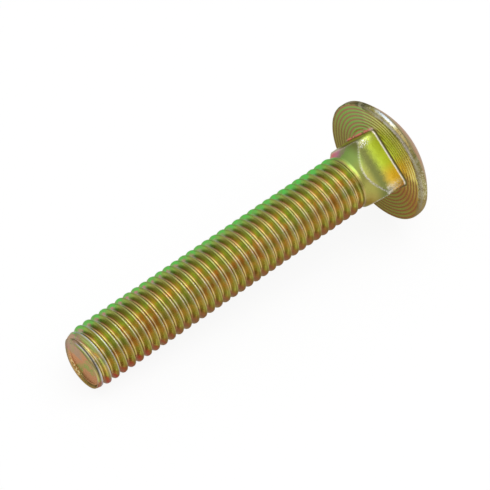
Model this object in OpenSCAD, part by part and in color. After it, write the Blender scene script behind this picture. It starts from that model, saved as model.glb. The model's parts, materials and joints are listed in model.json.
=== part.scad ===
// Carriage bolt: a fully threaded shank, a short square neck and a low domed head, forged in one piece.
// The bolt lies on a flat surface, on the edge of its head and the first crests of its thread.
// In the bolt's own frame the tip is at z = 0, the axis runs along +Z to the head, and lies() turns it to rest.

/* [Thread] */
// Diameter over the crests of the thread
thread_d = 7.88; // [7.76:0.01:7.97]
// Diameter at the bottom of the thread
root_d = 6.46; // [6.2:0.01:6.65]
// Advance of the right-hand thread in one turn
pitch = 1.25; // [1.15:0.05:1.5]
// Width of the flat on each crest
crest_w = 0.16; // [0.1:0.01:0.25]
// Angle between the two sides of the thread
flank_angle = 60; // [55:1:65]
// Turn of the thread about the axis
thread_turn = 159; // [0:1:359]

/* [Point] */
// Diameter of the end face
point_d = 6.84; // [6.6:0.01:7.2]
// Length of the chamfer that cuts the first crests
point_len = 2; // [0.8:0.1:3]
// Width of the lip round the shallow cup in the end, inside the bottom of the thread or the end face
lip_w = 0.1; // [0.05:0.01:0.4]
// Width of the cup's sloping side
cup_side_w = 0.25; // [0.1:0.05:1]
// Depth of the cup
cup_depth = 0.4; // [0.1:0.05:0.8]

/* [Shank] */
// Length from the tip to the underside of the head
length = 48.6; // [25:0.1:55]
// Diameter of the plain shank between the thread and the neck
shank_d = 7.3; // [7:0.05:7.6]
// Length of the plain shank
plain_len = 0.6; // [0.2:0.1:4]
// Length in which the thread fades out
runout_len = 1.4; // [0.7:0.1:2.5]

/* [Neck] */
// Width of the square neck across its flats
neck_w = 8.1; // [7.64:0.02:8.58]
// Height of the neck under the head, with its cone
neck_len = 5.05; // [3.5:0.05:9]
// Angle between the axis and the cone where the neck begins
neck_cone_angle = 41; // [30:1:55]
// Radius of the neck's corners
neck_corner_r = 0.65; // [0.2:0.05:1.2]
// Radius of the fillet between the neck and the head
neck_fillet = 0.4; // [0.1:0.05:0.8]
// Turn of the square neck about the axis
neck_turn = 42; // [0:1:89]

/* [Head] */
// Diameter of the head
head_d = 17.2; // [15:0.1:22]
// Height of the head
head_h = 4.35; // [3:0.05:6]
// Thickness of the head at its edge
rim_h = 0.75; // [0.3:0.05:1.5]
// Radius of the first ring on the underside of the head
ring_r = 4.72; // [4.5:0.02:6]
// Distance from one ring to the next
ring_step = 0.515; // [0.45:0.005:1]
// Width of each ring's groove
ring_w = 0.32; // [0.1:0.02:0.4]
// Depth of each ring's groove
ring_depth = 0.06; // [0.02:0.01:0.15]

/* [Hidden] */
// Flat facets in one turn of the thread
SIDES = 36;
// Facets in one rounded corner of the neck, and in its fillet
CORNER_SIDES = 5;
FILLET_SIDES = 3;
// Flats round the rim of the head: they leave the circle by 0.01 mm, and the bolt lies on one of them
RIM_SIDES = 72;
// How deep one form of the bolt reaches into the next
BITE = 0.4;
// How far the faded thread lies inside the plain shank
FADE = 0.07;

crest_r = thread_d / 2;
root_r = root_d / 2;
cup_r = min(root_d, point_d) / 2 - lip_w;
flank_w = (crest_r - root_r) * tan(flank_angle / 2);
shank_end = length - neck_len;
thread_end = shank_end - plain_len;
turns = ceil(thread_end / pitch) + 4;
// Places along one pitch where the thread's section bends, and the radius at each
bend_at = [0, crest_w, crest_w + flank_w, pitch - flank_w];
bend_r = [crest_r, crest_r, root_r, root_r];
bends = len(bend_at);
stations = turns * bends;

// The head is a slice of a ball: its radius follows from the rim and the height
dome_rise = head_h - rim_h;
dome_r = (pow(head_d / 2, 2) + pow(dome_rise, 2)) / (2 * dome_rise);

// At rest a flat of the rim and the first full crest touch the surface
rim_r = head_d / 2 * cos(180 / RIM_SIDES);
rest_tilt = atan((rim_r - crest_r) / (length - point_len));
rest_high = rim_r * cos(rest_tilt) - length * sin(rest_tilt);
tip_reach = point_d / 2 * sin(rest_tilt);
head_reach = (length + head_h - dome_r) * cos(rest_tilt) + dome_r;
rest_middle = (head_reach - tip_reach) / 2;

function column_angle(i) = 360 * i / SIDES;
function ring_point(r, angle, z) = [r * cos(angle), r * sin(angle), z];
function ring_points(r, z) = [for (i = [0:SIDES - 1]) ring_point(r, column_angle(i), z)];

// Height of station j of column i, where the crest climbs one pitch in a turn
function station_z(i, j) =
    pitch * ((column_angle(i) + thread_turn) / 360 + floor(j / bends) - 2) + bend_at[j % bends];
function chamfer_r(z) = point_d / 2 + (crest_r - point_d / 2) * z / point_len;
function faded(r, z) =
    let (share = max(0, min(1, (z - thread_end + runout_len) / runout_len)))
    r + (shank_d / 2 - FADE - r) * share;
function station_r(i, j) =
    let (z = station_z(i, j)) faded(min(bend_r[j % bends], chamfer_r(z)), z);

// Radius of the thread where the end face cuts column i
function section_r(along) =
    lookup(along, [[0, crest_r], [crest_w, crest_r], [crest_w + flank_w, root_r],
                   [pitch - flank_w, root_r], [pitch, crest_r]]);
function point_r(i) =
    let (along = -station_z(i, 0)) min(point_d / 2, section_r(along - pitch * floor(along / pitch)));

// Rows of the mesh: end ring, cup mouth, cup floor, buried ring, two centres, then the thread's stations
END_ROW = 0;
MOUTH_ROW = SIDES;
FLOOR_ROW = 2 * SIDES;
BURIED_ROW = 3 * SIDES;
FLOOR_MIDDLE = 4 * SIDES;
BURIED_MIDDLE = FLOOR_MIDDLE + 1;
FIRST_STATION = FLOOR_MIDDLE + 2;

function station(i, j) =
    i == SIDES ? station(0, j + bends)
    : station_z(i, j) <= 0 ? END_ROW + i
    : station_z(i, j) >= thread_end ? BURIED_ROW + i
    : FIRST_STATION + i * stations + j;
function is_face(f) = f[0] != f[1] && f[1] != f[2] && f[2] != f[0];
function next(i) = (i + 1) % SIDES;
// Faces of the end, between an outer ring that starts at point a and an inner one that starts at b
function band(a, b) =
    [for (i = [0:SIDES - 1]) each [[a + i, b + next(i), b + i], [a + i, a + next(i), b + next(i)]]];

module thread() {
    points = concat(
        [for (i = [0:SIDES - 1]) ring_point(point_r(i), column_angle(i), 0)],
        ring_points(cup_r, 0),
        ring_points(cup_r - cup_side_w, cup_depth),
        ring_points(shank_d / 2 - BITE, thread_end + BITE),
        [[0, 0, cup_depth], [0, 0, thread_end + BITE]],
        [for (i = [0:SIDES - 1], j = [0:stations - 1])
            ring_point(station_r(i, j), column_angle(i), station_z(i, j))]);
    thread_faces = [for (i = [0:SIDES - 1], j = [0:stations - bends - 2])
        each [[station(i, j), station(i, j + 1), station(i + 1, j + 1)],
              [station(i, j), station(i + 1, j + 1), station(i + 1, j)]]];
    faces = concat(
        [for (f = thread_faces) if (is_face(f)) f],
        band(END_ROW, MOUTH_ROW), band(MOUTH_ROW, FLOOR_ROW),
        [for (i = [0:SIDES - 1]) [FLOOR_ROW + i, FLOOR_ROW + next(i), FLOOR_MIDDLE]],
        [for (i = [0:SIDES - 1]) [BURIED_ROW + next(i), BURIED_ROW + i, BURIED_MIDDLE]]);
    polyhedron(points, faces, convexity = 10);
}

module shank() {
    translate([0, 0, thread_end]) cylinder(h = plain_len + neck_len / 2, d = shank_d, $fn = 96);
}

// Outline of the neck, grown by out on every side
function neck_outline(out) =
    [for (q = [0:3], c = [0:CORNER_SIDES])
        let (middle = neck_w / 2 - neck_corner_r,
             angle = 90 * (q + c / CORNER_SIDES),
             side = 90 * q + 45)
        [sqrt(2) * middle * cos(side) + (neck_corner_r + out) * cos(angle),
         sqrt(2) * middle * sin(side) + (neck_corner_r + out) * sin(angle)]];

module neck_prism() {
    rows = concat(
        [[0, shank_end]],
        [for (f = [0:FILLET_SIDES])
            let (angle = 90 * f / FILLET_SIDES)
            [neck_fillet * (1 - cos(angle)), length - neck_fillet + neck_fillet * sin(angle)]],
        [[neck_fillet, length + BITE]]);
    across = 4 * (CORNER_SIDES + 1);
    points = [for (row = rows, p = neck_outline(row[0])) [p[0], p[1], row[1]]];
    sides = [for (r = [0:len(rows) - 2], i = [0:across - 1])
        let (a = r * across, b = a + across, n = (i + 1) % across)
        [a + i, b + i, b + n, a + n]];
    polyhedron(points, concat(sides, [[for (i = [0:across - 1]) i],
        [for (i = [across - 1:-1:0]) (len(rows) - 1) * across + i]]), convexity = 4);
}

module neck() {
    cone_start = shank_d / 2 - FADE;
    // Wide enough to clear the fillet at the neck's corners
    cone_end = neck_w;
    intersection() {
        rotate([0, 0, neck_turn]) neck_prism();
        union() {
            translate([0, 0, shank_end])
                cylinder(h = (cone_end - cone_start) / tan(neck_cone_angle), r1 = cone_start, r2 = cone_end,
                         $fn = 96);
            translate([0, 0, length - neck_fillet - BITE]) cylinder(h = head_h, r = cone_end, $fn = 96);
        }
    }
}

module head_rings() {
    count = floor((head_d / 2 - ring_w / 2 - ring_r) / ring_step);
    for (k = [0:count])
        translate([0, 0, length])
            rotate_extrude($fn = 96)
                translate([ring_r + k * ring_step, 0])
                    polygon([[-ring_w / 2, -ring_depth / 4], [ring_w / 2, -ring_depth / 4], [0, ring_depth]]);
}

module rim_outline() {
    polygon([for (i = [0:RIM_SIDES - 1])
        let (angle = 360 * (i + 0.5) / RIM_SIDES) head_d / 2 * [cos(angle), sin(angle)]]);
}

module head() {
    difference() {
        intersection() {
            translate([0, 0, length]) linear_extrude(head_h) rim_outline();
            translate([0, 0, length + head_h - dome_r]) sphere(r = dome_r, $fn = 128);
        }
        head_rings();
    }
}

// Turns the bolt from its own frame to where it rests, centred over the origin
module lies() {
    translate([-rest_middle, 0, rest_high]) rotate([0, -rest_tilt, 0]) rotate([0, 90, 0]) children();
}

module carriage_bolt() {
    color("#a8924a") lies() {
        thread();
        shank();
        neck();
        head();
    }
}

carriage_bolt();
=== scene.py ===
# Carriage bolt: one plated steel bolt that lies on the edge of its head and on its first crests.
import json
import math

import bpy
import numpy as np
from mathutils import Matrix, Vector


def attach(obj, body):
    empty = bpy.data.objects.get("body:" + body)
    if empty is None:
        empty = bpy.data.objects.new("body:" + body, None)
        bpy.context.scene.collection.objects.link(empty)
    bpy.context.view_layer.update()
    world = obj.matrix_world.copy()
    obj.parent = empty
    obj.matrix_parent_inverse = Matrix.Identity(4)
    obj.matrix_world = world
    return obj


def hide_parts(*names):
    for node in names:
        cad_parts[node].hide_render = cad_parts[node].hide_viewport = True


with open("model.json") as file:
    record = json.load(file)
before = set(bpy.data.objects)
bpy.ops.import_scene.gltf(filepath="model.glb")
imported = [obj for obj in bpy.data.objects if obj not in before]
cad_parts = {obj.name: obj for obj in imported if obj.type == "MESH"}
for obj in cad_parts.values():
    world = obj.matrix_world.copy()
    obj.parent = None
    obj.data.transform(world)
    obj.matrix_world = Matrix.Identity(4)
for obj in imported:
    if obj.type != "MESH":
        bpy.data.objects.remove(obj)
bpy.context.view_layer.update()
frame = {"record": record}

# Sizes of the bolt in millimetres, places measured from the tip along its axis, and angles in degrees.
# The head is up to 0.01 mm smaller than the solid's, which keeps the visible bolt inside the solid's box.
LENGTH = 48.6
CREST_R = 3.94
ROOT_R = 3.23
PITCH = 1.25
FLANK_ANGLE = 30
CREST_START = 0.613
CREST_W = 0.16
CREST_ROUND = 0.05
CREST_WEAR = 0.012
CREST_WEAR_REACH = 0.05
ROOT_ROUND = 0.18
POINT_R = 3.42
POINT_LEN = 2.0
POINT_EDGE = 0.02
CUP_R = 2.95
CUP_DEPTH = 0.4
SHANK_R = 3.65
NECK_START = 43.55
RUNOUT_LEN = 0.7
PLAIN_LEN = 0.35
NECK_HALF = 4.05
NECK_CORNER_R = 0.65
NECK_CONE_ANGLE = 41
CONE_LEN = 2.1
CONE_EDGE_ROUND = 0.09
NECK_TURN = 132.3
NECK_FILLET = 0.42
HEAD_R = 8.59
HEAD_H = 4.345
RIM_H = 0.75
RIM_TOP_ROUND = 0.04
RIM_ROUGHNESS = 0.03
RING_R = 4.72
RING_STEP = 0.515
RING_DEPTH = 0.06

# The rim's lower edge is rounded, and worn wider on the side of this angle
RIM_EDGE = 0.1
RIM_BEVEL = 0.56
BEVEL_TOWARDS = 145

# The rolled end is uneven: one side is knocked back, and its cup and chamfer sit off the middle,
# each towards its own angle round the axis
END_FACE = 0.02
END_ROUGHNESS = 0.03
LIP_W = 0.22
DENT = 0.42
DENT_TOWARDS = 17
DENT_REACH = 50
CUP_OFFSET = 0.38
CUP_TOWARDS = 217
POINT_OFFSET = 0.2
POINT_TOWARDS = 250

# Bright lines along the thread, painted highlights, the crest one also wear: how far headward of a crest's
# middle each lies, and how wide it is.
# The one on the crest lies further over where the chamfer has cut the crest.
CREST_LINE = (0.09, 0.1)
CUT_CREST_LINE = (0.15, 0.09)
HOLLOW_HIGHLIGHT_LINE = (0.73, 0.08)

# Rubbed places of the neck, also painted near white as highlights: the line where the cone meets the flats,
# this wide, and the corners, from this far off the axis outwards, and only where the cone has grown past
# CORNER_CONE_R
CONE_EDGE_W = 0.09
CORNER_FROM = 4.85
CORNER_W = 0.3
CORNER_CONE_R = 5.5

THREAD_END = NECK_START - PLAIN_LEN
COLUMNS = 104
MM = 0.001


def bolt_axes():
    """The tip's centre and the directions along the axis, to the side and up, from the thread's mount."""
    mount = next(m for m in frame["record"]["mounts"] if m["name"] == "thread")
    along = -Vector(mount["axis"]).normalized()
    side = Vector((0, 1, 0))
    return Vector(mount["pos_m"]), along, side, along.cross(side)


TIP, ALONG, SIDE, UP = bolt_axes()


def place(along, radius, angle):
    """World points in metres, from places along the axis and radii in millimetres and angles in radians."""
    along, radius, angle = np.broadcast_arrays(along, radius, angle)
    return (
        np.array(TIP)
        + np.multiply.outer(along * MM, np.array(ALONG))
        + np.multiply.outer(radius * MM * np.cos(angle), np.array(SIDE))
        + np.multiply.outer(radius * MM * np.sin(angle), np.array(UP))
    )


class Skin:
    """Collects rings of points round the axis, the faces between them, and marks for the material."""

    MARKS = ("crest", "hollow", "cup", "lip")

    def __init__(self):
        self.points = []
        self.marks = {name: [] for name in self.MARKS}
        self.faces = []
        self.count = 0

    def add(self, along, radius, angle, **marks):
        """Adds points and returns their numbers."""
        rows = place(along, radius, angle).reshape(-1, 3)
        shape = np.broadcast(along, radius, angle).shape
        for name in self.MARKS:
            self.marks[name].append(np.broadcast_to(marks.get(name, 0.0), shape).ravel())
        first = self.count
        self.points.append(rows)
        self.count += len(rows)
        return first + np.arange(len(rows)).reshape(shape)

    def bridge(self, low, high):
        """Faces between two rings, low nearer the tip on the outside."""
        for a, b, c, d in zip(low, high, np.roll(high, -1), np.roll(low, -1)):
            self.faces.append((a, d, c, b))

    def extend(self, below, along, radius, angle, **marks):
        """Adds a ring on the head's side of the ring below, joins the two and returns the new ring."""
        here = self.add(along, radius, angle, **marks)
        self.bridge(below, here)
        return here

    def close(self, ring, centre, outward):
        """A fan of faces from a ring to its centre."""
        for a, b in zip(ring, np.roll(ring, -1)):
            self.faces.append((a, b, centre) if outward else (b, a, centre))


def turned(values, seed, scale):
    """Smooth noise round a ring, the same each run: a few sine waves with seeded phases."""
    rng = np.random.default_rng(seed)
    total = np.zeros_like(values)
    for k in range(1, 9):
        total += rng.normal() * np.sin(k * scale * values + rng.uniform(0, 2 * math.pi)) / k**0.5
    return total / 3


def smooth_step(x):
    x = np.clip(x, 0, 1)
    return x * x * (3 - 2 * x)


def bell(values, middle, width):
    """1 at the middle, falling smoothly to 0 on both sides."""
    return np.exp(-(((values - middle) / width) ** 2))


def thread_section():
    """Stations along one pitch from the middle of a crest, and the depth of each below the crest."""
    slope = 1 / math.tan(math.radians(FLANK_ANGLE))
    root_angles = np.radians(np.linspace(FLANK_ANGLE - 90, 90 - FLANK_ANGLE, 7))
    root_u = PITCH / 2 + ROOT_ROUND * np.sin(root_angles)
    root_h = CREST_R - ROOT_R - ROOT_ROUND * (1 - np.cos(root_angles))
    edge = root_u[0] - root_h[0] / slope
    shoulder = [(edge - CREST_ROUND, 0), (edge, 0.018), (edge + CREST_ROUND * 0.6, 0.065)]
    flank = [(edge + (root_u[0] - edge) * t, root_h[0] * t) for t in (0.45, 0.72)]
    falling = shoulder + flank
    rising = [(PITCH - u, h) for u, h in reversed(falling)]
    stations = [(0, -0.004)] + falling + list(zip(root_u, root_h)) + rising
    return np.array(stations)


def end_face(angle):
    """How far the end face stands back from the tip at an angle."""
    turn = np.mod(np.degrees(angle) - DENT_TOWARDS + 180, 360) - 180
    return END_FACE + DENT * bell(turn, 0, DENT_REACH)


def point_radius(along, angle):
    """Radius of the chamfer that cuts the first crests."""
    start = POINT_R + POINT_OFFSET * np.cos(angle - math.radians(POINT_TOWARDS))
    return start + (CREST_R - start) * np.clip(along / POINT_LEN, 0, 1)


def thread_marks(spot, cut, on_chamfer):
    """How worn the thread is along its crests, where the worn line is also a painted highlight, and how
    bright the painted highlight in its hollows is, at places in the pitch.

    on_chamfer says which of them lie along the chamfered point, and cut where the chamfer cuts them."""
    crest = bell(spot, *CREST_LINE) * np.where(spot < 0.02, 0.4, 1)
    cut_crest = (0.1 + 0.8 * bell(spot, *CUT_CREST_LINE)) * cut
    return np.where(on_chamfer, cut_crest, crest), bell(spot, *HOLLOW_HIGHLIGHT_LINE)


def build_thread(skin):
    """The thread from the end ring to the ring where it has faded.

    Returns the two rings, their angles and the radius of the end ring."""
    section = thread_section()
    per_turn = len(section)
    turns = int(math.ceil(THREAD_END / PITCH)) + 4
    turn, station = np.divmod(np.arange(turns * per_turn), per_turn)
    spot, depth = section[station, 0][None, :], section[station, 1][None, :]
    angle = np.arange(COLUMNS) * 2 * math.pi / COLUMNS
    column = angle[:, None]
    first_crest = CREST_START + CREST_W / 2
    along = first_crest + PITCH * ((column + math.pi / 2) / (2 * math.pi) + turn[None, :] - 2) + spot
    uneven = 1 + turned(column + 2 * math.pi * turn[None, :], 3, 0.9)
    worn = CREST_WEAR * uneven * np.exp(-depth / CREST_WEAR_REACH)
    limit = point_radius(along, column)
    radius = np.minimum(CREST_R - depth - np.clip(worn, 0, None), limit)
    end = end_face(angle)
    end_r = point_radius(end, angle) - POINT_EDGE
    radius = np.maximum(radius, (end_r + end)[:, None] - along)
    fade = smooth_step((along - THREAD_END + RUNOUT_LEN) / RUNOUT_LEN)
    # Marks for the worn crests, which are also painted highlights, and for the painted highlights in the
    # hollows
    crest, hollow = thread_marks(spot, radius > limit - 0.02, limit < CREST_R)
    radius = radius + (SHANK_R - radius) * fade
    grid = skin.add(along, radius, column, crest=crest * (1 - fade), hollow=hollow * (1 - fade))
    first = skin.add(end + 0.03, end_r, angle, lip=0.5)
    last = skin.add(THREAD_END, SHANK_R, angle)
    index = np.where(along <= end[:, None] + 0.05, first[:, None], grid)
    index = np.where(along >= THREAD_END - 0.02, last[:, None], index)
    wrapped = np.vstack([index, np.roll(index[0], -per_turn)])
    for i in range(COLUMNS):
        for j in range((turns - 1) * per_turn - 1):
            quad = (wrapped[i, j], wrapped[i + 1, j], wrapped[i + 1, j + 1], wrapped[i, j + 1])
            corners = tuple(dict.fromkeys(quad))
            if len(corners) > 2:
                skin.faces.append(corners)
    return first, last, angle, end_r


def build_end(skin, ring, angle, ring_r):
    """The lip round the shallow cup in the end, and the cup."""
    end = end_face(angle) + END_ROUGHNESS * turned(angle, 11, 1)
    swing = angle - math.radians(CUP_TOWARDS)
    reach = np.sqrt(CUP_R**2 - (CUP_OFFSET * np.sin(swing)) ** 2)
    floor = CUP_DEPTH + 0.02
    floor_r = CUP_OFFSET * np.cos(swing) + reach
    floor_r = np.minimum(floor_r, ring_r - 0.14)
    ridge = np.minimum(ring_r - 0.05, floor_r + LIP_W)
    rows = [
        (end, ridge, 0, 1),
        (end + 0.01, ridge * 0.6 + floor_r * 0.4, 0.5, 1),
        (end + 0.05, ridge * 0.3 + floor_r * 0.7, 0.8, 0.5),
        (end * 0.4 + CUP_DEPTH * 0.75, floor_r - 0.02, 1, 0),
        (end * 0.2 + CUP_DEPTH * 0.95, floor_r - 0.08, 1, 0),
        (end * 0.1 + CUP_DEPTH, floor_r - 0.2, 1, 0),
        (floor, floor_r * 0.75, 1, 0),
        (floor, floor_r * 0.5, 1, 0),
        (floor, floor_r * 0.25, 1, 0),
    ]
    below = ring
    for along, radius, cup, lip in rows:
        here = skin.add(along, radius, angle, cup=cup, lip=lip)
        skin.bridge(here, below)
        below = here
    centre = skin.add(np.array([floor]), 0, 0, cup=1)[0]
    skin.close(below, centre, False)


def neck_radius(angle, out):
    """Distance from the axis to the rounded square of the neck, grown by out."""
    half, corner = NECK_HALF + out, NECK_CORNER_R + out
    middle = half - corner
    folded = np.abs(np.mod(angle - math.radians(NECK_TURN) + math.pi / 4, math.pi / 2) - math.pi / 4)
    both = np.cos(folded) + np.sin(folded)
    reach = np.clip(middle**2 * both**2 - 2 * middle**2 + corner**2, 0, None)
    rounded = middle * both + np.sqrt(reach)
    flat = half / np.cos(folded)
    return np.where(half * np.tan(folded) <= middle, flat, rounded)


def softer_min(a, b, blend):
    """The smaller of two lengths, with the corner where they cross rounded."""
    h = np.clip(0.5 + (b - a) / (2 * blend), 0, 1)
    return b + (a - b) * h - blend * h * (1 - h)


def corner_angles(angle):
    """Ring angles drawn together at the neck's four corners."""
    shift = angle - math.radians(NECK_TURN)
    return angle + 0.1 * np.sin(4 * shift)


def build_neck(skin, ring, angle):
    """Plain shank, cone, square neck and fillet. Returns the last ring and its angles."""
    gathered = corner_angles(angle)
    below = ring
    for t in (0.25, 0.5, 0.75):
        along = THREAD_END + (PLAIN_LEN - 0.05) * t
        below = skin.extend(below, along, SHANK_R, angle + (gathered - angle) * t)
    fine = np.linspace(NECK_START - 0.05, NECK_START + CONE_LEN, 36)
    coarse = np.linspace(NECK_START + CONE_LEN + 0.2, LENGTH - NECK_FILLET, 12)
    square = neck_radius(gathered, 0)
    for along in np.concatenate([fine, coarse]):
        cone = SHANK_R - 0.04 + (along - NECK_START) * math.tan(math.radians(NECK_CONE_ANGLE))
        cone = max(cone, SHANK_R)
        radius = softer_min(square, np.full_like(gathered, cone), CONE_EDGE_ROUND)
        corner = smooth_step((square - CORNER_FROM) / CORNER_W) * 0.5 if cone > CORNER_CONE_R else 0
        edge = bell(square, cone, CONE_EDGE_W) * 0.8
        below = skin.extend(below, along, radius, gathered, crest=np.maximum(edge, corner))
    # The first rings of the fillet carry the painted highlight line, all of them on the upper flat
    upper_flat = np.cos(gathered - math.radians(NECK_TURN - 90)) > 0.72
    for a, bright in ((8, 0.9), (18, 1), (30, 0.7), (42, 0), (60, 0), (77, 0)):
        out = NECK_FILLET * (1 - math.cos(math.radians(a)))
        along = LENGTH - NECK_FILLET * (1 - math.sin(math.radians(a)))
        mark = np.where(upper_flat, 1, bright)
        below = skin.extend(below, along, neck_radius(gathered, out), gathered, hollow=mark)
    return below, gathered


def ring_height(radius):
    """How far the rings press into the underside at a radius, from the land between two rings."""
    return RING_DEPTH * 0.5 * (1 + np.cos(2 * math.pi * (radius - RING_R) / RING_STEP))


def build_underside(skin, ring, angle, edge_r):
    """The underside with its rings, from the fillet to the rim. Returns the last ring."""
    below = ring
    inner = neck_radius(angle, NECK_FILLET)
    middle_r = NECK_HALF * math.sqrt(2) + NECK_FILLET - 0.1
    for t in np.linspace(0, 1, 22)[:-1]:
        radius = inner + (middle_r - inner) * t
        start = smooth_step(t / 0.08)
        below = skin.extend(below, LENGTH + ring_height(radius) * start, radius, angle)
    for t in np.linspace(0, 1, 39)[1:]:
        radius = middle_r + (edge_r - middle_r) * t
        below = skin.extend(below, LENGTH + ring_height(radius), radius, angle)
    return below


def build_head(skin, ring, angle):
    """Underside with its rings, rim and dome."""
    bevel = RIM_EDGE + RIM_BEVEL * np.clip(np.cos(angle - math.radians(BEVEL_TOWARDS)), 0, 1)
    edge_r = HEAD_R - bevel
    below = build_underside(skin, ring, angle, edge_r)
    rows = []
    # The rounded edge carries the crest mark: worn, and also painted as a highlight
    for a, crest in ((12, 0.4), (25, 0.6), (40, 0.6), (55, 0.4), (72, 0.1), (90, 0)):
        sine, cosine = math.sin(math.radians(a)), math.cos(math.radians(a))
        along = ring_height(edge_r) * cosine + 0.6 * bevel * (1 - cosine)
        rows.append((along, HEAD_R - bevel * (1 - sine), crest))
    rows.append((RIM_H - 3 * RIM_TOP_ROUND, HEAD_R, 0))
    rows.append((RIM_H - RIM_TOP_ROUND, HEAD_R - 0.015, 0.2))
    rough = np.minimum(RIM_ROUGHNESS * turned(angle, 5, 3), 0)
    for along, radius, crest in rows:
        below = skin.extend(below, LENGTH + along, radius + rough, angle, crest=crest)
    rise = HEAD_H - RIM_H
    ball = (HEAD_R**2 + rise**2) / (2 * rise)
    ball_centre = LENGTH + HEAD_H - ball
    shoulder = math.asin((HEAD_R - RIM_TOP_ROUND) / ball)
    for a in shoulder * np.linspace(1, 0, 26)[:-1]:
        below = skin.extend(below, ball_centre + ball * math.cos(a), ball * math.sin(a), angle)
    centre = skin.add(np.array([LENGTH + HEAD_H]), 0, 0)[0]
    skin.close(below, centre, True)


def build_bolt():
    """The whole bolt as one closed mesh, with the marks as attributes."""
    skin = Skin()
    first, last, angle, first_r = build_thread(skin)
    build_end(skin, first, angle, first_r)
    ring, gathered = build_neck(skin, last, angle)
    build_head(skin, ring, gathered)
    points = np.concatenate(skin.points)
    used = sorted({int(v) for f in skin.faces for v in f})
    renumber = {v: n for n, v in enumerate(used)}
    mesh = bpy.data.meshes.new("plated_bolt")
    mesh.from_pydata(points[used].tolist(), [], [[renumber[int(v)] for v in f] for f in skin.faces])
    for name, parts in skin.marks.items():
        layer = mesh.attributes.new(name, "FLOAT", "POINT")
        layer.data.foreach_set("value", np.concatenate(parts)[used])
    mesh.shade_smooth()
    bolt = bpy.data.objects.new("plated_bolt", mesh)
    bpy.context.scene.collection.objects.link(bolt)
    return bolt


def colour(digits):
    """A colour in the shader's linear values, from its six digits."""
    parts = [int(digits[i : i + 2], 16) / 255 for i in (1, 3, 5)]
    return tuple(v / 12.92 if v <= 0.04045 else ((v + 0.055) / 1.055) ** 2.4 for v in parts) + (1,)


class Graph:
    """Adds nodes to a material and joins them. A value is a socket or a plain number or colour."""

    def __init__(self, material):
        self.nodes = material.node_tree.nodes
        self.links = material.node_tree.links

    def feed(self, socket, value):
        if isinstance(value, bpy.types.NodeSocket):
            self.links.new(value, socket)
        else:
            socket.default_value = value

    def math(self, operation, *values):
        node = self.nodes.new("ShaderNodeMath")
        node.operation = operation
        for socket, value in zip(node.inputs, values):
            self.feed(socket, value)
        return node.outputs[0]

    def times(self, *values):
        total = values[0]
        for value in values[1:]:
            total = self.math("MULTIPLY", total, value)
        return total

    def shifted(self, value, noise, amount):
        """The value moved up and down by a noise that is 0.5 on average."""
        return self.math("MULTIPLY_ADD", self.math("SUBTRACT", noise, 0.5), amount, value)

    def vector(self, operation, first, second):
        node = self.nodes.new("ShaderNodeVectorMath")
        node.operation = operation
        self.feed(node.inputs[0], first)
        self.feed(node.inputs[1], second)
        return node.outputs["Value" if operation == "DOT_PRODUCT" else "Vector"]

    def joined(self, *values):
        node = self.nodes.new("ShaderNodeCombineXYZ")
        for socket, value in zip(node.inputs, values):
            self.feed(socket, value)
        return node.outputs[0]

    def step(self, value, low, high):
        """0 at low and 1 at high, smooth between."""
        node = self.nodes.new("ShaderNodeMapRange")
        node.interpolation_type = "SMOOTHSTEP"
        self.feed(node.inputs["Value"], value)
        node.inputs["From Min"].default_value = low
        node.inputs["From Max"].default_value = high
        return node.outputs["Result"]

    def band(self, value, low, high, soft):
        """1 between low and high, smooth at both ends."""
        rising = self.step(value, low - soft, low + soft)
        falling = self.step(value, high + soft, high - soft)
        return self.times(rising, falling)

    def noise(self, spot, scale, detail):
        node = self.nodes.new("ShaderNodeTexNoise")
        self.feed(node.inputs["Vector"], spot)
        node.inputs["Scale"].default_value = scale
        node.inputs["Detail"].default_value = detail
        return node.outputs[0]

    def ramp(self, value, stops):
        node = self.nodes.new("ShaderNodeValToRGB")
        elements = node.color_ramp.elements
        while len(elements) < len(stops):
            elements.new(0.5)
        for element, (position, digits) in zip(elements, stops):
            element.position = position
            element.color = colour(digits)
        self.feed(node.inputs[0], value)
        return node.outputs["Color"]

    def blend(self, share, low, high):
        node = self.nodes.new("ShaderNodeMix")
        node.data_type = "RGBA"
        self.feed(node.inputs[0], share)
        self.feed(node.inputs[6], low)
        self.feed(node.inputs[7], high)
        return node.outputs[2]

    def tint(self, film, over, *shares):
        """The film with another over it, as strongly as the product of the shares."""
        return self.blend(self.times(*shares), film, colour(over) if isinstance(over, str) else over)

    def mark(self, name):
        node = self.nodes.new("ShaderNodeAttribute")
        node.attribute_name = name
        return node.outputs["Fac"]


def round_the_axis(stops):
    """Ramp stops for a full turn, from angles in degrees and colours. The last repeats the first."""
    return [(angle / 360, digits) for angle, digits in stops] + [(1, stops[0][1])]


# The colours of the plating's film round the bolt, at angles in degrees, and of the highlights and shade
# painted onto it
THREAD_FILM = round_the_axis(
    [
        (0, "#8a9c3c"),
        (36, "#58c052"),
        (50, "#58c252"),
        (60, "#6abc54"),
        (70, "#94b050"),
        (84, "#a8aa5a"),
        (108, "#b4c658"),
        (119, "#acb258"),
        (130, "#c4be60"),
        (142, "#c8c06c"),
        (162, "#d4b85c"),
        (180, "#b0b248"),
        (192, "#98742c"),
        (204, "#945838"),
        (214, "#8c6038"),
        (240, "#a07a34"),
        (272, "#84902c"),
        (310, "#b08434"),
    ]
)
# Painted highlight colours for the hollows of the thread, brightest in front
THREAD_HOLLOW_HIGHLIGHT = round_the_axis(
    [
        (0, "#a89a50"),
        (40, "#a8a890"),
        (60, "#a8a890"),
        (74, "#a86c60"),
        (92, "#c89470"),
        (110, "#f8c094"),
        (122, "#c8a874"),
        (136, "#fff0cc"),
        (150, "#dcc090"),
        (168, "#e0c08c"),
        (182, "#ccb070"),
        (194, "#a87c54"),
        (215, "#90502c"),
        (290, "#b88c48"),
    ]
)
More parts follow.
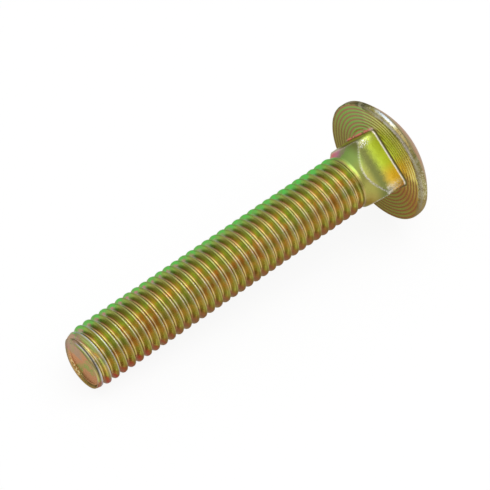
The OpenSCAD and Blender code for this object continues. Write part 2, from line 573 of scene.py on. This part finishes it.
# Colours of the worn crests, which also stand for a painted highlight, lightest in front
WORN_AND_HIGHLIGHT = round_the_axis(
    [
        (0, "#a8a080"),
        (40, "#74944c"),
        (58, "#8c8c5c"),
        (84, "#948c64"),
        (106, "#988474"),
        (120, "#867464"),
        (132, "#d4c4b8"),
        (148, "#b8ac90"),
        (170, "#a89c70"),
        (192, "#887c48"),
        (210, "#6c5a2c"),
        (290, "#aca07c"),
    ]
)
# Painted shade for the headward flanks of the thread
THREAD_SHADE = round_the_axis(
    [
        (0, "#8c8454"),
        (40, "#989458"),
        (64, "#8c7c60"),
        (84, "#846850"),
        (100, "#94744c"),
        (118, "#6c5438"),
        (136, "#907850"),
        (150, "#8c7850"),
        (168, "#b09c74"),
        (190, "#b4a47c"),
        (208, "#ac986c"),
    ]
)
LIP = round_the_axis(
    [
        (0, "#b88878"),
        (30, "#b49484"),
        (60, "#a09470"),
        (100, "#74704c"),
        (140, "#7c7858"),
        (180, "#b8b4a0"),
        (220, "#907c4c"),
        (260, "#b08c48"),
        (310, "#c89c5c"),
    ]
)
UNDERSIDE_LAND = round_the_axis(
    [
        (0, "#8a8444"),
        (35, "#7ca04c"),
        (70, "#8ca85c"),
        (100, "#d0cc78"),
        (128, "#fcf8a8"),
        (158, "#f4e87c"),
        (174, "#bca454"),
        (200, "#a07c38"),
        (230, "#8c8c40"),
        (300, "#84803c"),
    ]
)
UNDERSIDE_GROOVE = round_the_axis(
    [
        (0, "#786438"),
        (40, "#9c7054"),
        (70, "#9a7858"),
        (104, "#ac9c5c"),
        (128, "#d4c480"),
        (158, "#dcc884"),
        (174, "#98703c"),
        (200, "#986038"),
        (235, "#906038"),
        (300, "#785c34"),
    ]
)
NECK_FILM = round_the_axis(
    [
        (0, "#a8a050"),
        (44, "#cc5c70"),
        (60, "#b07c8c"),
        (74, "#8cac58"),
        (100, "#98b05c"),
        (120, "#acb65c"),
        (140, "#aca858"),
        (165, "#a8a454"),
        (185, "#a89850"),
        (205, "#947c34"),
        (240, "#8c8e34"),
        (300, "#b08844"),
    ]
)

# Sides of the thread that have colours of their own, from and to these parts of a turn round the axis
THREAD_TOP = (0.06, 0.19)
THREAD_FRONT = (0.27, 0.47)
THREAD_BOTTOM = (0.53, 0.62)


class Bolt:
    """Where a point of the material lies on the bolt, and the noises that the colours share."""

    def __init__(self, graph):
        spot = graph.nodes.new("ShaderNodeTexCoord").outputs["Object"]
        from_tip = graph.vector("SUBTRACT", spot, TIP)
        self.along = graph.vector("DOT_PRODUCT", from_tip, ALONG / MM)
        side = graph.vector("DOT_PRODUCT", from_tip, SIDE / MM)
        up = graph.vector("DOT_PRODUCT", from_tip, UP / MM)
        self.radius = graph.math("SQRT", graph.math("ADD", graph.times(side, side), graph.times(up, up)))
        self.turn = graph.math("FRACT", graph.math("DIVIDE", graph.math("ARCTAN2", up, side), 2 * math.pi))
        millimetres = graph.joined(self.along, side, up)
        self.patches = graph.noise(millimetres, 0.35, 2)
        self.cloud = graph.noise(graph.vector("ADD", millimetres, (17, 5, 9)), 0.6, 3)
        self.mottle = graph.noise(millimetres, 1.7, 4)
        self.specks = graph.noise(millimetres, 6, 3)
        self.drift = graph.shifted(graph.shifted(self.turn, self.patches, 0.08), self.mottle, 0.05)

    def thread_phase(self, graph):
        """Place in the pitch: 0 a quarter of a pitch headward of a crest's middle at angle 0."""
        start = CREST_START + CREST_W / 2 + PITCH / 4
        passed = graph.math("DIVIDE", graph.math("SUBTRACT", self.along, start), PITCH)
        return graph.math("FRACT", graph.math("SUBTRACT", passed, self.turn))


def thread_film_and_shade(graph, bolt, phase):
    """Patches in front, a red lower side near the tip, painted shade on the flanks, and green and pink on
    top.
    """
    film = graph.ramp(bolt.drift, THREAD_FILM)
    front = graph.band(bolt.turn, *THREAD_FRONT, 0.06)
    film = graph.tint(film, "#dc8440", front, graph.step(bolt.cloud, 0.5, 0.62), 0.5)
    film = graph.tint(film, "#8cb44c", front, graph.step(bolt.cloud, 0.48, 0.38), 0.5)
    red_end = graph.times(graph.band(bolt.turn, *THREAD_BOTTOM, 0.03), graph.step(bolt.along, 16, 4))
    film = graph.tint(film, "#b0281c", red_end, graph.step(bolt.mottle, 0.3, 0.6))
    # Painted shade on the headward flanks
    headward_flank = graph.band(phase, 0.13, 0.46, 0.04)
    film = graph.tint(film, graph.ramp(bolt.drift, THREAD_SHADE), headward_flank, 0.6)
    # Painted shade on the tipward shoulders of the crests in front
    tipward_flank = graph.band(phase, 0.85, 0.985, 0.03)
    film = graph.tint(film, "#6c6030", tipward_flank, graph.band(bolt.turn, 0.22, 0.56, 0.03), 0.6)
    top = graph.band(bolt.turn, *THREAD_TOP, 0.03)
    film = graph.tint(film, "#7ca050", top, graph.step(bolt.mottle, 0.42, 0.62), 0.45)
    spots = graph.times(graph.band(bolt.drift, 0.12, 0.172, 0.015), graph.band(phase, 0.56, 0.76, 0.05))
    spots = graph.times(spots, graph.step(bolt.along, 34, 10), graph.step(bolt.specks, 0.3, 0.5))
    return graph.tint(film, "#d4648c", spots, 0.8)


def thread_colour(graph, bolt):
    """The thread's film, with painted highlights in the hollows, and worn off along the crests, most near
    the tip, where the worn lines are also painted highlights with painted white glints in front.
    """
    film = thread_film_and_shade(graph, bolt, bolt.thread_phase(graph))
    # Painted highlights along the hollows
    film = graph.tint(film, graph.ramp(bolt.drift, THREAD_HOLLOW_HIGHLIGHT), graph.mark("hollow"))
    # Worn crests, bluish near the tip, painted as highlights too
    worn = graph.tint(graph.ramp(bolt.drift, WORN_AND_HIGHLIGHT), "#b8b6c4", graph.step(bolt.along, 5, 2))
    film = graph.tint(film, worn, graph.mark("crest"), graph.step(bolt.specks, 0.1, 0.35))
    # Painted white glints on the crests in front
    glints = graph.times(graph.step(bolt.specks, 0.54, 0.66), graph.band(bolt.turn, 0.28, 0.44, 0.04))
    return graph.tint(film, "#f8f0f4", graph.mark("crest"), glints)


def cup_colour(graph, bolt):
    """The pinkish floor of the cup with green patches, inside its golden side with painted highlight
    specks.
    """
    floor = graph.tint(colour("#d09068"), "#98a858", graph.step(bolt.patches, 0.5, 0.58))
    floor = graph.tint(floor, "#c8986c", graph.step(bolt.mottle, 0.35, 0.7))
    # Painted highlight specks on the cup's side
    side = graph.tint(colour("#a07838"), "#f4dca0", graph.step(bolt.specks, 0.45, 0.6))
    side = graph.tint(side, "#6c5830", graph.band(bolt.turn, 0.5, 0.79, 0.03), 0.9)
    return graph.tint(floor, side, graph.step(bolt.along, 0.42, 0.32))


def point_colour(graph, bolt, film):
    """The film with a painted shadow line and a worn line in front, the worn one also a painted highlight,
    a beige upper side, and the lip of the end.
    """
    near = graph.times(graph.band(bolt.turn, 0.2, 0.5, 0.05), graph.band(bolt.radius, 3.2, 3.9, 0.05))
    # Painted shadow line in front, next to the lip
    film = graph.tint(film, "#38341c", near, graph.band(bolt.along, 0.27, 0.45, 0.05), 0.85)
    # Worn line in front, also a painted highlight
    rubbed_and_highlight = graph.times(graph.band(bolt.along, 0.56, 0.72, 0.05), graph.step(bolt.specks, 0.35, 0.55))
    film = graph.tint(film, "#f0ece4", near, rubbed_and_highlight, 0.8)
    upper = graph.times(graph.step(bolt.turn, 0.27, 0.2), graph.step(bolt.along, 1.5, 0.9))
    film = graph.tint(film, "#b4947c", upper, graph.step(bolt.mottle, 0.3, 0.5))
    lip = graph.times(graph.mark("lip"), graph.step(bolt.specks, 0.3, 0.5))
    return graph.tint(film, graph.ramp(bolt.drift, LIP), lip)


def neck_colour(graph, bolt):
    """Green and olive patches, yellower towards the head where a reflection of the underside is painted on
    the flats, worn corners and cone's edge that are also painted near white as highlights, a painted
    highlight line along the fillet with painted shade on the rest of it, and a worn patch at the top corner
    with painted white glints.
    """
    film = graph.ramp(bolt.drift, NECK_FILM)
    uneven = graph.shifted(bolt.along, bolt.mottle, 0.8)
    # Painted reflection of the underside on the flats, nearer the head
    underside_reflection = graph.tint(colour("#e0f85c"), "#ffd450", graph.step(bolt.turn, 0.37, 0.45))
    flat = graph.tint(colour("#787c44"), underside_reflection, graph.step(uneven, 45.6, 47.4))
    film = graph.tint(film, flat, graph.step(bolt.along, 44.2, 45.4))
    # Painted shade on the fillet next to the head
    film = graph.tint(film, "#706838", graph.step(bolt.along, 48.32, 48.4))
    # Painted highlight line along the fillet, pink on the upper side
    inside = graph.tint(colour("#f4ece0"), "#cc7468", graph.step(bolt.turn, 0.26, 0.2))
    broken = graph.math("MAXIMUM", graph.step(bolt.turn, 0.2, 0.26), graph.step(bolt.mottle, 0.32, 0.48))
    film = graph.tint(film, inside, graph.mark("hollow"), graph.step(bolt.specks, 0.25, 0.5), broken)
    # Worn cone edge and corners, painted near white as highlights, stronger below
    more_below = graph.math("MULTIPLY_ADD", graph.step(bolt.turn, 0.31, 0.36), 0.6, 0.4)
    film = graph.tint(film, "#fcf4f0", graph.mark("crest"), graph.step(bolt.specks, 0.3, 0.6), more_below)
    # A duller worn patch at the top corner with painted white glints
    corner = graph.times(graph.band(bolt.turn, 0.25, 0.268, 0.01), graph.band(bolt.along, 45.6, 46.9, 0.3))
    film = graph.tint(film, "#8c8850", corner, 0.6)
    return graph.tint(film, "#ffffff", corner, graph.step(bolt.specks, 0.54, 0.6))


def underside_colour(graph, bolt):
    """Rings of two colours."""
    ring = graph.math("DIVIDE", graph.math("SUBTRACT", bolt.radius, RING_R), RING_STEP)
    pressed = graph.step(graph.math("COSINE", graph.times(ring, 2 * math.pi)), -0.2, 0.6)
    land = graph.ramp(bolt.drift, UNDERSIDE_LAND)
    return graph.tint(land, graph.ramp(bolt.drift, UNDERSIDE_GROOVE), pressed)


def rim_colour(graph, bolt, scuffed):
    """Worn yellowish grey, darker behind and below, with painted highlights and scuffed places in front."""
    film = graph.tint(colour("#908848"), "#a49c6c", graph.step(bolt.mottle, 0.35, 0.65))
    film = graph.tint(film, "#5c5c3c", graph.step(bolt.turn, 0.24, 0.2))
    film = graph.tint(film, "#7c6840", graph.step(bolt.cloud, 0.52, 0.6), 0.6)
    film = graph.tint(film, "#c0bc9c", graph.step(bolt.cloud, 0.46, 0.38), 0.6)
    # Painted bluish-white highlight at the upper front of the rim
    shine = graph.times(graph.band(bolt.turn, 0.25, 0.3, 0.02), graph.step(bolt.along, 48.85, 49.1))
    film = graph.tint(film, "#d8e4ec", shine, 0.9)
    film = graph.tint(film, "#4c4830", graph.step(bolt.specks, 0.58, 0.66))
    # Painted highlight line along the rounded edge in front
    highlight_streak = graph.times(graph.band(bolt.radius, 7.88, 8.2, 0.06), graph.band(bolt.turn, 0.345, 0.4, 0.012))
    film = graph.tint(film, "#fff4e8", highlight_streak, graph.step(bolt.specks, 0.3, 0.5))
    film = graph.tint(film, "#e0d8b4", scuffed, graph.step(bolt.specks, 0.5, 0.6), 0.7)
    return graph.tint(film, "#84682c", graph.step(bolt.turn, 0.49, 0.56), 0.75)


def head_colour(graph, bolt):
    """The ringed underside, a worn rim that reaches onto it in front, and a mottled dome; the rim's worn
    edge is also a painted highlight, lighter in front.
    """
    front = graph.band(bolt.turn, 0.2, 0.58, 0.05)
    scuffed = graph.band(bolt.turn, 0.42, 0.55, 0.03)
    dome = graph.tint(colour("#b08468"), "#9c9060", graph.step(bolt.patches, 0.4, 0.62))
    dome = graph.tint(dome, "#b88868", graph.step(bolt.mottle, 0.5, 0.75))
    shoulder = graph.step(bolt.along, LENGTH + RIM_H - 0.05, LENGTH + RIM_H + 0.15)
    top = graph.tint(rim_colour(graph, bolt, scuffed), dome, shoulder)
    reach = graph.math("MULTIPLY_ADD", scuffed, 0.2, graph.math("MULTIPLY_ADD", front, 0.6, -0.25))
    reach = graph.shifted(reach, bolt.mottle, 0.5)
    outer = graph.step(graph.math("ADD", bolt.radius, reach), HEAD_R - 0.42, HEAD_R - 0.3)
    above = graph.step(bolt.along, LENGTH + 0.15, LENGTH + 0.3)
    film = graph.tint(underside_colour(graph, bolt), top, graph.math("MAXIMUM", outer, above))
    # Worn rim edge, painted lighter in front as a highlight
    rubbed_and_highlight = graph.tint(colour("#9c9480"), "#e6e0d6", graph.band(bolt.turn, 0.27, 0.4, 0.04))
    return graph.tint(film, rubbed_and_highlight, graph.mark("crest"), graph.step(bolt.specks, 0.3, 0.5), front)


def plated_steel():
    """Zinc plating with an iridescent film that drifts round the bolt and is worn off its edges, with
    highlights and shade painted into its colour.
    """
    material = bpy.data.materials.new("plated_steel")
    material.use_nodes = True
    graph = Graph(material)
    bolt = Bolt(graph)
    past_thread = graph.step(bolt.along, THREAD_END, NECK_START)
    film = graph.tint(thread_colour(graph, bolt), neck_colour(graph, bolt), past_thread)
    past_neck = graph.step(bolt.along, LENGTH - 0.04, LENGTH - 0.01)
    film = graph.tint(film, head_colour(graph, bolt), past_neck)
    film = graph.tint(film, cup_colour(graph, bolt), graph.mark("cup"))
    film = point_colour(graph, bolt, film)
    shader = graph.nodes["Principled BSDF"]
    graph.feed(shader.inputs["Base Color"], film)
    shader.inputs["Metallic"].default_value = 1
    shader.inputs["Specular Tint"].default_value = (0.75, 0.7, 0.6, 1)
    rough = graph.math("MULTIPLY_ADD", bolt.mottle, 0.2, 0.2)
    graph.feed(shader.inputs["Roughness"], graph.math("MULTIPLY_ADD", graph.mark("crest"), 0.08, rough))
    bump = graph.nodes.new("ShaderNodeBump")
    bump.inputs["Strength"].default_value = 0.25
    bump.inputs["Distance"].default_value = 0.03 * MM
    graph.feed(bump.inputs["Height"], bolt.specks)
    graph.feed(shader.inputs["Normal"], bump.outputs[0])
    return material


def build_stage():
    """A white floor that keeps the bolt's shadow, and soft even light."""
    mesh = bpy.data.meshes.new("floor")
    half = 1.5
    corners = [(-half, -half, 0), (half, -half, 0), (half, half, 0), (-half, half, 0)]
    mesh.from_pydata(corners, [], [(0, 1, 2, 3)])
    floor = bpy.data.objects.new("floor", mesh)
    bpy.context.scene.collection.objects.link(floor)
    material = bpy.data.materials.new("floor")
    material.use_nodes = True
    graph = Graph(material)
    matt = graph.nodes["Principled BSDF"]
    matt.inputs["Base Color"].default_value = (0.9, 0.9, 0.9, 1)
    matt.inputs["Roughness"].default_value = 1
    glow = graph.nodes.new("ShaderNodeEmission")
    glow.inputs["Strength"].default_value = 1
    path = graph.nodes.new("ShaderNodeLightPath")
    glossy = graph.times(path.outputs["Is Glossy Ray"], 0.6)
    share = graph.math("MULTIPLY_ADD", path.outputs["Is Camera Ray"], 0.9, glossy)
    mix = graph.nodes.new("ShaderNodeMixShader")
    graph.feed(mix.inputs[0], share)
    graph.feed(mix.inputs[1], matt.outputs[0])
    graph.feed(mix.inputs[2], glow.outputs[0])
    graph.feed(graph.nodes["Material Output"].inputs["Surface"], mix.outputs[0])
    mesh.materials.append(material)
    world = bpy.data.worlds.new("studio")
    world.use_nodes = True
    graph = Graph(world)
    direction = graph.nodes.new("ShaderNodeTexCoord").outputs["Generated"]
    height = graph.vector("DOT_PRODUCT", direction, (0, 0, 1))
    sky = graph.math("MULTIPLY_ADD", graph.step(height, 0.25, 0.75), 0.4, 0.6)
    seen = graph.nodes.new("ShaderNodeLightPath").outputs["Is Camera Ray"]
    graph.feed(graph.nodes["Background"].inputs["Strength"], graph.math("MAXIMUM", sky, seen))
    graph.nodes["Background"].inputs["Color"].default_value = (1, 1, 1, 1)
    bpy.context.scene.world = world
    lamp = bpy.data.lights.new("softbox", "AREA")
    lamp.shape = "RECTANGLE"
    lamp.size = 0.5
    lamp.size_y = 0.5
    lamp.energy = 1.0
    box = bpy.data.objects.new("softbox", lamp)
    bpy.context.scene.collection.objects.link(box)
    box.location = (0.15, -0.1, 0.5)
    box.rotation_mode = "QUATERNION"
    box.rotation_quaternion = (box.location - Vector((0, 0, 0.01))).to_track_quat("Z", "Y")


# The camera's view of the bolt: turned and raised as in the photograph, with the tip's centre at
# these distances in millimetres to the right of, above and ahead of the middle of the picture
VIEW_AZIMUTH = -40.46
VIEW_ELEVATION = 43.02
TIP_RIGHT = -19.84
TIP_ABOVE = -14.26
TIP_AHEAD = 277.2
LENS = 169.6


def build_camera():
    """The camera where the photograph was taken from."""
    camera = bpy.data.objects.new("camera", bpy.data.cameras.new("camera"))
    bpy.context.scene.collection.objects.link(camera)
    camera.data.lens = LENS
    camera.data.sensor_width = 36
    azimuth, elevation = math.radians(VIEW_AZIMUTH), math.radians(VIEW_ELEVATION)
    level = Vector((-math.sin(azimuth), math.cos(azimuth), 0))
    right = level.cross(Vector((0, 0, 1)))
    ahead = level * math.cos(elevation) - Vector((0, 0, 1)) * math.sin(elevation)
    above = right.cross(ahead)
    spot = TIP - (right * TIP_RIGHT + above * TIP_ABOVE + ahead * TIP_AHEAD) * MM
    turn = Matrix((right, above, -ahead)).transposed().to_4x4()
    camera.matrix_world = Matrix.Translation(spot) @ turn
    camera.data.clip_start = 0.01
    camera.data.clip_end = 10
    bpy.context.scene.camera = camera


build_camera()
build_stage()
bolt = build_bolt()
bolt.data.materials.append(plated_steel())
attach(bolt, "root")
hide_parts("carriage_bolt")
bpy.context.scene.view_settings.view_transform = "Standard"
